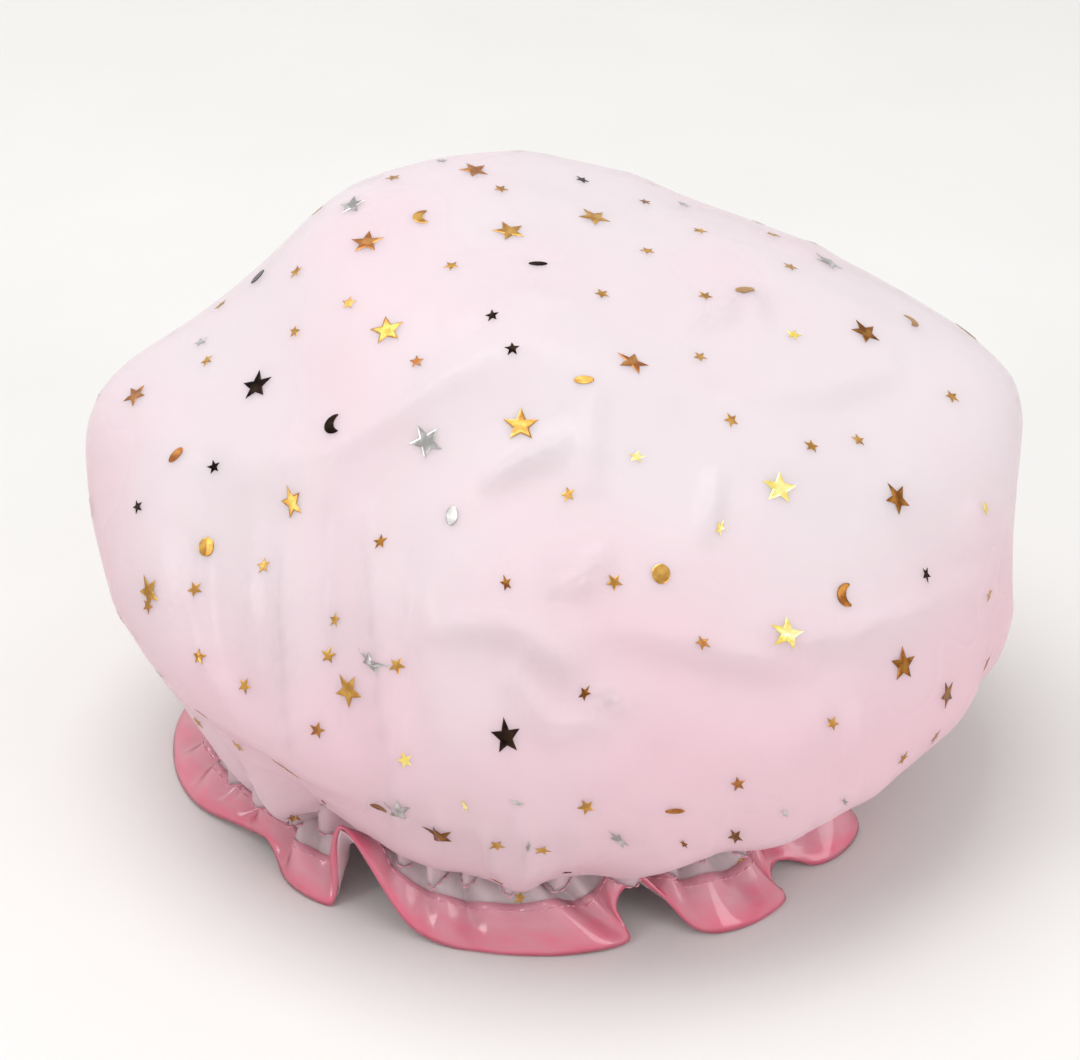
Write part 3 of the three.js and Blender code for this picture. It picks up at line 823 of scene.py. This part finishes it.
# The second colour of each sheet is its deeper pink: painted shade and painted glow towards the
# bottom, and random clouds all over.
for piece, slot, nodes, *tones in (
    (film, "outer_film", FILM_NODES, "#FAF5F7", "#FCE9EF", (0.45, 0.36), (0.3, 0.28)),
    (lining, "lining_film", ["lining_film"], "#FAF3F5", "#FCE6ED", (0.3, 0.98), (0.2, 0.08)),
):
    piece.data.materials.append(film_finish(slot, *tones))
    stand_for(piece, slot, *nodes)

# %% [markdown]
# ## The binding
# A strip of stronger pink film is folded over the ruffle's edge and sewn on. It is stiffer than
# the film and glossy, so it stands in smooth curves with sharp highlights.

# %% Fold the binding over the edge
BINDING_COLUMNS, BINDING_ROWS = 896, 14
BINDING_GAP = 0.45 * MM
BINDING_FOLD = 0.8 * MM
BINDING_WALL = 0.25 * MM
BINDING_TURN = 0.9  # the share of the strip's half width at which it starts to turn over
UPPER_STEP = 0.8 * MM
binding_start = walk_of(np.array([1.0]))[0] - BINDING_WIDTH


def binding_points(column, across):
    """Points of the strip: across runs from its upper edge outside, round the fold, to the upper
    edge inside."""
    step = 1 / FILM_COLUMNS / 4
    share = 1 - np.abs(2 * across - 1)
    walk = np.minimum(binding_start + share / BINDING_TURN * BINDING_WIDTH, edge_at)
    row = row_at(walk)
    base = film_points(column, row)
    ahead, behind = (film_points((column + s) % 1, row) for s in (step, -step))
    down = unit(base - film_points(column, row_at(walk - UPPER_STEP)))
    out = unit(np.cross(down, ahead - behind))
    beyond = np.clip((share - BINDING_TURN) / (1 - BINDING_TURN), 0, 1)
    side = np.sign(0.5 - across)
    ripple = 0.12 * MM * wander(column, 90, 31) * np.clip(share / 0.3, 0, 1)
    lift = side * BINDING_GAP * np.sqrt(1 - beyond**2) + ripple * (1 - beyond)
    placed = base + out * (side * np.abs(lift))[:, None]
    return placed + down * (BINDING_FOLD * beyond)[:, None]


binding, column, row = flat_grid("edge_binding_strip", BINDING_COLUMNS, BINDING_ROWS)
put_points(binding, binding_points(column % 1, row))
close_up(binding)
edge_length = run_along(film_points(np.linspace(0, 1, 1501), np.ones(1501)))[-1]
print("binding: length", round(edge_length, 3), "area", round(area_of(binding), 4))
thicken(binding, BINDING_WALL)

# %% Binding material
strip = Finish("edge_binding")
streaks, lines, pleats = (
    strip.clouds(strip.place(stretch, "UV"), scale, detail)
    for stretch, scale, detail in (((30, 2, 1), 3, 3), ((10, 40, 1), 2, 2), ((90, 2, 1), 3, 2))
)
from_fold = strip.axis(strip.place(on="UV"), 1) * 2 - 1
from_fold = from_fold.sum("ABSOLUTE", from_fold)
pale_share = (from_fold * 0.6 + streaks * 0.8 - 0.3).fit(0, 0.6)
creased = None
for height, depth, strength in ((streaks, 0.6, 0.4), (pleats, 0.3, 0.35), (lines, 0.2, 0.3)):
    creased = strip.relief(height, depth * MM, strength, creased)
gloss = {
    "Base Color": strip.blend(pale_share, paint("#FF7F9E"), paint("#FFBDCC")),
    "Roughness": 0.1,
    "Alpha": pale_share.fit(0, 1, 0.9, 0.68),
    "Normal": creased,
    "Coat Weight": 1.0,
    "Coat Roughness": 0.06,
}
binding.data.materials.append(strip.lit_through(0.25, gloss))
stand_for(binding, "edge_binding", "edge_binding")

# %% [markdown]
# ## The elastic and its casing
# Both are seen from below and faintly through the film. The elastic is a braided band that lies
# relaxed in a tape, and the tape is drawn up into small puckers, because it was sewn to the film
# while the elastic was stretched.

# %% Elastic band
ELASTIC_OUT = NECK_RADIUS - 1.2 * MM
ELASTIC_WALL = 0.5 * MM  # without its ribs
ELASTIC_WIDTH = 6 * MM
RIBS, RIB_DEPTH = 90, 0.12 * MM
EDGE_DRAW = 0.08 * MM
neck_centre = neck_place + [0, 0, NECK_MIDDLE]

bpy.ops.mesh.primitive_cylinder_add(
    vertices=360,
    radius=ELASTIC_OUT,
    depth=ELASTIC_WIDTH,
    end_fill_type="NOTHING",
    location=neck_centre,
)
elastic = newest("elastic_braid")
set_place(elastic)
edit(elastic)
bpy.ops.mesh.bisect(plane_co=neck_centre, plane_no=(0, 0, 1))
leave_edit()
points = points_of(elastic) - neck_place
angle = np.arctan2(points[:, 1], points[:, 0])
at_edge = np.abs(points[:, 2] - NECK_MIDDLE) > 1 * MM
drawn = ELASTIC_OUT - RIB_DEPTH * (1 + np.sin(RIBS * angle)) - EDGE_DRAW * at_edge
put_points(elastic, circle_points(drawn, angle, points[:, 2]) + neck_place)
thicken(elastic, ELASTIC_WALL, -1.0)
edit(elastic)
bpy.ops.mesh.normals_make_consistent(inside=False)
leave_edit()
bpy.ops.object.shade_smooth_by_angle(angle=math.radians(40))

# %% Casing tape
CASING_RADIUS = NECK_RADIUS - 3.0 * MM
CASING_WALL = 0.2 * MM
CASING_RISE = 1.75 * MM  # how much further out its edges lie, where they meet the film
PUCKER_DEPTH = 0.28 * MM

casing_low, casing_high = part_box("elastic_casing")
casing, column, row = flat_grid("casing_tape", 672, 12)
height = casing_high.z + (casing_low.z - casing_high.z) * row - neck_place[2]
to_edge = np.abs(2 * row - 1)
pucker = np.sin(TURN * (2 * GATHERS * column + 0.3 * wander(column, 30, 41))) * PUCKER_DEPTH
radius = CASING_RADIUS + CASING_RISE * to_edge**5 + pucker * (1 - 0.6 * to_edge)
put_points(casing, circle_points(radius, column * TURN, height) + neck_place)
close_up(casing)
thicken(casing, CASING_WALL, -1.0)

# %% [markdown]
# ## Textile finishes
# Elastic, tape and thread are yarn. Ribs run round the elastic, and a plain weave covers the tape.

# %% Textile materials


def woven(name, pale, deep, across, up, depth):
    """Yarn that crosses: ribs round the cap and ribs up it."""
    weave = Finish(name)
    spot = weave.place()
    x, y, z = (weave.axis(spot, i) for i in range(3))
    x, y = x - float(neck_place[0]), y - float(neck_place[1])
    ribs = (y.sum("ARCTAN2", y, x) * across).sine() * 0.5 + 0.5
    rows = (z * up).sine() * 0.5 + 0.5
    height = ribs * rows * 0.7 + weave.clouds(spot, 2500, 2) * 0.3
    # Painted shade: the yarn is mixed to the darker colour where the weave lies low, in the hollows
    # between the ribs, and a little at random with the noise.
    colour = weave.blend(height.fit(0.1, 0.8), paint(deep), paint(pale))
    values = {"Base Color": colour, "Roughness": 0.85, "Sheen Weight": 0.25}
    return weave.plain({**values, "Normal": weave.relief(height, depth, 0.8)})


# The second colour of each piece is the darker one, painted shade in the hollows of its weave.
for piece, node, slot, *yarn in (
    (elastic, "elastic_band", "elastic", "#F6F2EE", "#D9CFC9", 420, 9000, 0.15 * MM),
    (casing, "elastic_casing", "casing_tape", "#F3CBD5", "#DFA3B2", 900, 12000, 0.06 * MM),
):
    piece.data.materials.append(woven(piece.name, *yarn))
    stand_for(piece, slot, node)

thread_look = Finish("pink_thread")
twist = thread_look.clouds(thread_look.place((1, 1, 3)), 3000, 2)
thread_colour = thread_look.blend(twist, paint("#EE93A8"), paint("#F7B4C4"))
thread_values = {"Base Color": thread_colour, "Roughness": 0.6, "Sheen Weight": 0.3}
thread_values["Normal"] = thread_look.relief(twist, 0.08 * MM, 0.6)
thread = thread_look.plain(thread_values)

# %% [markdown]
# ## Stitches
# Every seam is a row of single stitches. One stitch is modelled, a short length of thread whose
# ends dip into the film, and it is copied along each seam.

# %% One stitch
STITCH_LENGTH = 2.0 * MM
STITCH_STEP = 3.0 * MM
THREAD_RADIUS = 0.2 * MM
THREAD_LIFT = 0.6 * THREAD_RADIUS

bpy.ops.mesh.primitive_cylinder_add(
    vertices=6, radius=THREAD_RADIUS, depth=STITCH_LENGTH * 0.6, end_fill_type="NGON"
)
stitch = newest("one_stitch")
stitch.rotation_euler = (0, math.pi / 2, 0)
set_place(stitch)
for end in (-1, 1):
    edit(stitch, "DESELECT")
    leave_edit()
    for face in stitch.data.polygons:
        face.select = face.normal.x * end > 0.9
    bpy.ops.object.mode_set(mode="EDIT")
    bpy.ops.mesh.extrude_region_move(
        TRANSFORM_OT_translate={"value": (end * STITCH_LENGTH * 0.2, 0, -1.3 * THREAD_RADIUS)}
    )
    bpy.ops.transform.resize(value=(1, 0.6, 0.6))
    leave_edit()
bpy.ops.object.shade_smooth()


def copies(master, name, frames, fitted=None):
    """Copies a piece to each frame, a place and three axes, and joins the copies into one."""
    made = []
    for place, right, up, out in frames:
        copy = bpy.data.objects.new(name, master.data.copy())
        bpy.context.collection.objects.link(copy)
        local = points_of(copy)
        moved = place + local[:, :1] * right + local[:, 1:2] * up + local[:, 2:] * out
        put_points(copy, moved if fitted is None else fitted(moved, out))
        made.append(copy)
    return joined(made, name)


def seam_frames(line, outside, step):
    """Frames at even steps along a closed line of points. outside holds the outward directions."""
    along = run_along(line)

    def on_line(values, at):
        return np.array([np.interp(at % along[-1], along, values[:, i]) for i in range(3)])

    frames = []
    for at in np.linspace(0, along[-1], int(along[-1] / step), endpoint=False):
        here, out = on_line(line, at), on_line(outside, at)
        right = unit(on_line(line, at + 0.3 * step) - here)
        out = unit(out - right * (out @ right))
        frames.append((here, right, np.cross(out, right), out))
    return frames


# %% Sew the seams
SEAM_COLUMN = np.linspace(0, 1, 4001)
BINDING_SEAM = 0.07  # how far across the folded strip its seam runs
TACK_STITCHES = 14
TACK_RADIUS = NECK_RADIUS - 2.3 * MM


def film_seam(walk, lift):
    """A line of points round the film at a walk from the top, lifted off it, with its normals."""
    column = SEAM_COLUMN
    row = np.full(column.shape, row_at(walk))
    around = film_points((column + 2e-4) % 1, row) - film_points((column - 2e-4) % 1, row)
    along = film_points(column, row + 2e-3) - film_points(column, row - 2e-3)
    out = unit(np.cross(along, around))
    return film_points(column, row) + out * lift, out


seams = {}
for node in ("casing_stitches_upper", "casing_stitches_lower"):
    low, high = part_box(node)
    walk = neck_top_at + NECK_TOP + neck_place[2] - (low.z + high.z) / 2
    line, out = film_seam(walk, 0.5 * FILM_WALL + THREAD_LIFT)
    frames = seam_frames(line, out, STITCH_STEP)
    seams[node] = copies(stitch, node.replace("stitches", "seam"), frames)

across = np.full(SEAM_COLUMN.shape, BINDING_SEAM)
line = binding_points(SEAM_COLUMN % 1, across)
out = unit(line - binding_points(SEAM_COLUMN % 1, 1 - across))
line = line + out * (0.5 * BINDING_WALL + THREAD_LIFT)
seams["binding_stitches"] = copies(stitch, "binding_seam", seam_frames(line, out, STITCH_STEP))

tack_low, tack_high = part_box("elastic_end_tack")
tack_frames = []
for i in range(TACK_STITCHES):
    x = tack_low.x + (tack_high.x - tack_low.x) * (i + 0.5) / TACK_STITCHES
    y = neck_place[1] + math.sqrt(TACK_RADIUS**2 - (x - neck_place[0]) ** 2)
    z = (tack_low.z + tack_high.z) / 2
    right = np.array([0.35 if i % 2 else -0.35, 0, 0.94])
    out = np.array([0, -1.0, 0])
    for part in (-0.8, 0.8):
        place = np.array([x, y, z + part * MM])
        tack_frames.append((place, right, np.cross(out, right), out))
seams["elastic_end_tack"] = copies(stitch, "elastic_tack", tack_frames)
bpy.data.objects.remove(stitch)
for node, piece in seams.items():
    piece.data.materials.append(thread)
    stand_for(piece, "thread", node)

# %% [markdown]
# ## Foil stars, moons and dots
# The pattern is a common one of thin foil pressed onto the film. Each shape is modelled flat once,
# with an inner face that is inset and raised a little, as a stamped edge leaves it. A copy goes
# where a line from the camera through the pixel meets the film, and every point of it is then
# dropped onto the film, so it takes on the film's curve.

# %% One of each shape
STAR_RADIUS = 4.8 * MM
SMALL_STAR_RADIUS = 2.3 * MM
MOON_RADIUS = 3.1 * MM
MOON_BITE = math.radians(62)
DOT_RADIUS = 2.6 * MM
NOTCH_SHARE = 0.43
FOIL_LIFT = 0.14 * MM
FOIL_WALL = 0.06 * MM


def disc(name, vertices, radius):
    bpy.ops.mesh.primitive_circle_add(vertices=vertices, radius=radius, fill_type="NGON")
    return newest(name)


def stamped(piece, rim, cuts=0):
    """Insets and raises the inner face of a flat shape, and gives it a wall."""
    edit(piece)
    bpy.ops.mesh.inset(thickness=rim, depth=0.0)
    bpy.ops.transform.translate(value=(0, 0, 0.35 * rim))
    bpy.ops.mesh.poke()
    if cuts:
        bpy.ops.mesh.select_all(action="SELECT")
        bpy.ops.mesh.subdivide(number_cuts=cuts)
    leave_edit()
    thicken(piece, FOIL_WALL, 1.0)
    return piece


def star_shape(name, radius, cuts):
    piece = disc(name, 10, radius)
    edit(piece, "DESELECT")
    leave_edit()
    for i, vertex in enumerate(piece.data.vertices):
        vertex.select = i % 2 == 1
    bpy.ops.object.mode_set(mode="EDIT")
    bpy.ops.transform.resize(value=(NOTCH_SHARE, NOTCH_SHARE, 1))
    leave_edit()
    return stamped(piece, 0.07 * radius, cuts)


def moon_shape(name, radius):
    piece = disc(name, 20, radius)
    points = points_of(piece)
    angle = np.arctan2(points[:, 1], points[:, 0])
    hollow = 0.55 * radius * np.cos(angle / MOON_BITE * math.pi / 2)
    bitten = np.abs(angle) < MOON_BITE
    points[:, 0] = np.where(bitten, 0.42 * radius - hollow, points[:, 0])
    put_points(piece, points)
    return stamped(piece, 0.08 * radius)


SHAPES = {
    "star": star_shape("one_star", STAR_RADIUS, 1),
    "small": star_shape("one_small_star", SMALL_STAR_RADIUS, 0),
    "moon": moon_shape("one_moon", MOON_RADIUS),
    "dot": stamped(disc("one_dot", 20, DOT_RADIUS), 0.1 * DOT_RADIUS),
}

# %% Where the foil lies
# Each: its pixel, its turn, how wide it still is where it is creased or curled, and its colour. The
# first 24 stars, all moons and the first 5 dots are the shapes that the CAD model has too.
CAD_COUNTS = {"star": 24, "moon": 4, "dot": 5}
FOIL_PLACES = {
    "star": [
        (509, 231, 0.05, 1, "gold"), (594, 217, 0.06, 1, "gold"), (367, 242, 0.01, 1, "copper"),
        (352, 205, 0.03, 0.8, "silver"), (387, 330, 0.04, 1, "gold"), (257, 385, 0.03, 1, "black"),
        (135, 395, 0.15, 0.8, "copper"), (426, 441, 0.08, 0.9, "silver"), (521, 425, 0, 1, "gold"),
        (292, 502, 0.06, 0.65, "gold"), (632, 362, 0.12, 0.8, "copper"),
        (828, 262, 0.02, 0.9, "silver"), (865, 332, 0.03, 0.9, "bronze"),
        (779, 488, 0.18, 0.9, "yellow"), (897, 498, 0.09, 0.8, "bronze"),
        (787, 633, 0.17, 0.9, "yellow"), (903, 664, 0.02, 0.9, "bronze"),
        (947, 694, 0.12, 0.7, "bronze"), (149, 591, 0.07, 0.8, "gold"),
        (369, 661, 0.14, 0.4, "silver"), (348, 690, 0.1, 0.85, "gold"),
        (506, 736, 0.02, 0.8, "black"), (439, 837, 0.08, 0.8, "bronze"),
        (735, 836, 0.12, 0.4, "bronze"), (474, 170, 0.05, 0.9, "copper"),
        (618, 839, 0.1, 0.3, "silver"), (398, 812, 0.04, 0.7, "silver"),
    ],
    "moon": [
        (424, 217, 0.02, 1, "gold"), (335, 424, 0.05, 1, "black"), (910, 321, 0.45, 0.8, "gold"),
        (847, 595, 0, 1, "bronze"),
    ],
    "dot": [
        (258, 277, 0, 1, "black"), (745, 290, 0, 1, "gold"), (661, 574, 0, 0.9, "gold"),
        (207, 547, 0, 0.8, "gold"), (538, 264, 0.25, 0.35, "black"), (452, 516, 0, 0.6, "silver"),
        (584, 380, 0.25, 0.45, "gold"), (176, 455, 0.9, 0.5, "copper"), (743, 867, 0, 0.7, "gold"),
        (675, 811, 0.25, 0.3, "copper"), (379, 807, 0.2, 0.5, "bronze"),
    ],
}
SMALL_GOLD = [
    (501, 189), (393, 178), (318, 211), (451, 266), (296, 272), (349, 303), (221, 305), (295, 332),
    (207, 361), (417, 362), (647, 251), (700, 231), (773, 235), (790, 267), (602, 294), (705, 296),
    (700, 357), (731, 420), (811, 446), (858, 440), (952, 397), (568, 495), (614, 582), (989, 595),
    (703, 643), (986, 664), (832, 723), (935, 737), (738, 784), (264, 566), (195, 589), (148, 606),
    (335, 620), (329, 655), (397, 666), (199, 657), (245, 686), (317, 730), (198, 722), (238, 746),
    (294, 817), (543, 850), (520, 898), (775, 859), (586, 807), (903, 758), (497, 845),
]
SMALL_OTHERS = {
    "black": [(492, 316), (512, 349), (582, 180), (926, 575), (214, 467), (138, 507), (567, 872)],
    "bronze": [(645, 202), (380, 542), (506, 583), (585, 693), (324, 802), (497, 881), (684, 844)],
    "silver": [(442, 161), (201, 342), (684, 205), (785, 813), (845, 802), (517, 803), (528, 847)],
    "yellow": [(637, 457), (794, 335), (720, 528), (985, 508), (465, 806), (405, 760)],
}
SLIVER_ROW, SLIVER_WIDTH = 790, 0.35
chance = np.random.default_rng(7)
foil_table = [(kind, *place) for kind, places in FOIL_PLACES.items() for place in places]
for x, y in SMALL_GOLD:
    tone = "gold" if chance.random() < 0.8 else "copper"
    foil_table.append(("small", x, y, chance.random(), chance.uniform(0.75, 1), tone))
# The film curves away at the bottom of the photograph, so the shapes there look like slivers.
for tone, places in SMALL_OTHERS.items():
    for x, y in places:
        width = SLIVER_WIDTH if y > SLIVER_ROW else chance.uniform(0.6, 0.9)
        foil_table.append(("small", x, y, chance.random(), width, tone))

# %% Foil finds its place on the film


def foil_frame(place, out, turn, width):
    up = unit(view_up - out * (view_up @ out))
    right = np.cross(up, out)
    c, s = math.cos(turn * TURN), math.sin(turn * TURN)
    return place, (right * c + up * s) * width, up * c - right * s, out


def onto_film(points, out):
    """Drops points onto the film, keeping how far each stands off the flat shape."""
    middle = points.mean(0)
    heights = (points - middle) @ out
    heights = heights - heights.min()
    placed = []
    for point, height in zip(points, heights):
        start = Vector(point + out * 6 * MM)
        hit = film_tree.ray_cast(start, Vector(-out), 14 * MM)
        found = hit if hit[0] else film_tree.find_nearest(Vector(point))
        placed.append(np.array(found[0]) + out * (FOIL_LIFT + height))
    return np.array(placed)


foil_frames = {}
placed = []
missed = []
for kind, x, y, turn, width, tone in foil_table:
    spot, normal, _, _ = film_tree.ray_cast(Vector(eye), sight_line(x, y))
    if spot is None:
        missed.append((x, y))
        continue
    out = np.array(normal) * (1 if normal.dot(Vector(eye) - spot) > 0 else -1)
    foil_frames.setdefault((kind, tone), []).append(foil_frame(np.array(spot), out, turn, width))
    placed.append(np.array(spot))
print("foil placed", len(placed), "missed", missed)

# The sides that the photograph doesn't show get the same scatter.
SCATTER_TRIES = 1600
SCATTER_SPACING = 15 * MM
SCATTER_REACH = 0.4
SCATTER_FLOOR = 36 * MM
cap_middle = Vector((0, 0, 70 * MM))
TONES = ["gold"] * 14 + ["bronze"] * 3 + ["copper"] * 2 + ["black"] * 2 + ["silver", "yellow"]
KINDS = ["small"] * 12 + ["star"] * 6 + ["moon", "dot", "dot"]
for _ in range(SCATTER_TRIES):
    start = Vector(chance.normal(size=3))
    start.z = abs(start.z) - 0.3
    start = start.normalized() * SCATTER_REACH + cap_middle
    spot, normal, _, _ = film_tree.ray_cast(start, cap_middle - start)
    kind, tone = KINDS[chance.integers(len(KINDS))], TONES[chance.integers(len(TONES))]
    turn = chance.random()
    if spot is None or spot.z < SCATTER_FLOOR:
        continue
    here = np.array(spot)
    if np.array(normal) @ unit(eye - here) > -0.02 or normal.dot(start - spot) < 0:
        continue
    if min(np.linalg.norm(here - other) for other in placed) < SCATTER_SPACING:
        continue
    foil_frames.setdefault((kind, tone), []).append(foil_frame(here, np.array(normal), turn, 1))
    placed.append(here)
print("foil in all", len(placed))

# %% Foil materials and pieces
FOIL_TONES = {
    "gold": ("#A97A3C", "#D3A556", 0.32),
    "copper": ("#9C6238", "#C08A50", 0.3),
    "bronze": ("#75461F", "#A87436", 0.3),
    "black": ("#170F0D", "#3A2A22", 0.25),
    "silver": ("#9C9A98", "#D2D0CE", 0.3),
    "yellow": ("#F0D35C", "#FBEFA6", 0.3),
}
nodes_of_tone = {}
for kind, count in CAD_COUNTS.items():
    for number, (*_, tone) in enumerate(FOIL_PLACES[kind][:count], 1):
        nodes_of_tone.setdefault(tone, []).append(f"foil_{kind}_{number:02d}")

by_tone = {}
for (kind, tone), frames in sorted(foil_frames.items()):
    piece = copies(SHAPES[kind], f"foil_{tone}_{kind}", frames, onto_film)
    by_tone.setdefault(tone, []).append(piece)
for shape in SHAPES.values():
    bpy.data.objects.remove(shape)
foil_pieces = []
for tone, pieces in by_tone.items():
    piece = joined(pieces, f"foil_{tone}")
    deep, pale, rough = FOIL_TONES[tone]
    foil = Finish(piece.name)
    crinkle = foil.clouds(foil.place(), 320, 2)
    values = {
        "Base Color": foil.blend(crinkle.fit(0.35, 0.7), paint(deep), paint(pale)),
        "Metallic": 1.0,
        "Roughness": rough,
        "Normal": foil.relief(crinkle, 0.2 * MM, 0.4),
    }
    piece.data.materials.append(foil.plain(values))
    stand_for(piece, "foil", *nodes_of_tone[tone])
    foil_pieces.append(piece)

# %% The pieces that lie on the film, in a list
caught = [binding, seams["binding_stitches"], seams["casing_stitches_upper"]]
caught += [seams["casing_stitches_lower"], *foil_pieces]

# %% Print the sizes
low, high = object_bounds()
print("visual box in mm", [round(x / MM, 1) for x in (*low, *high)])
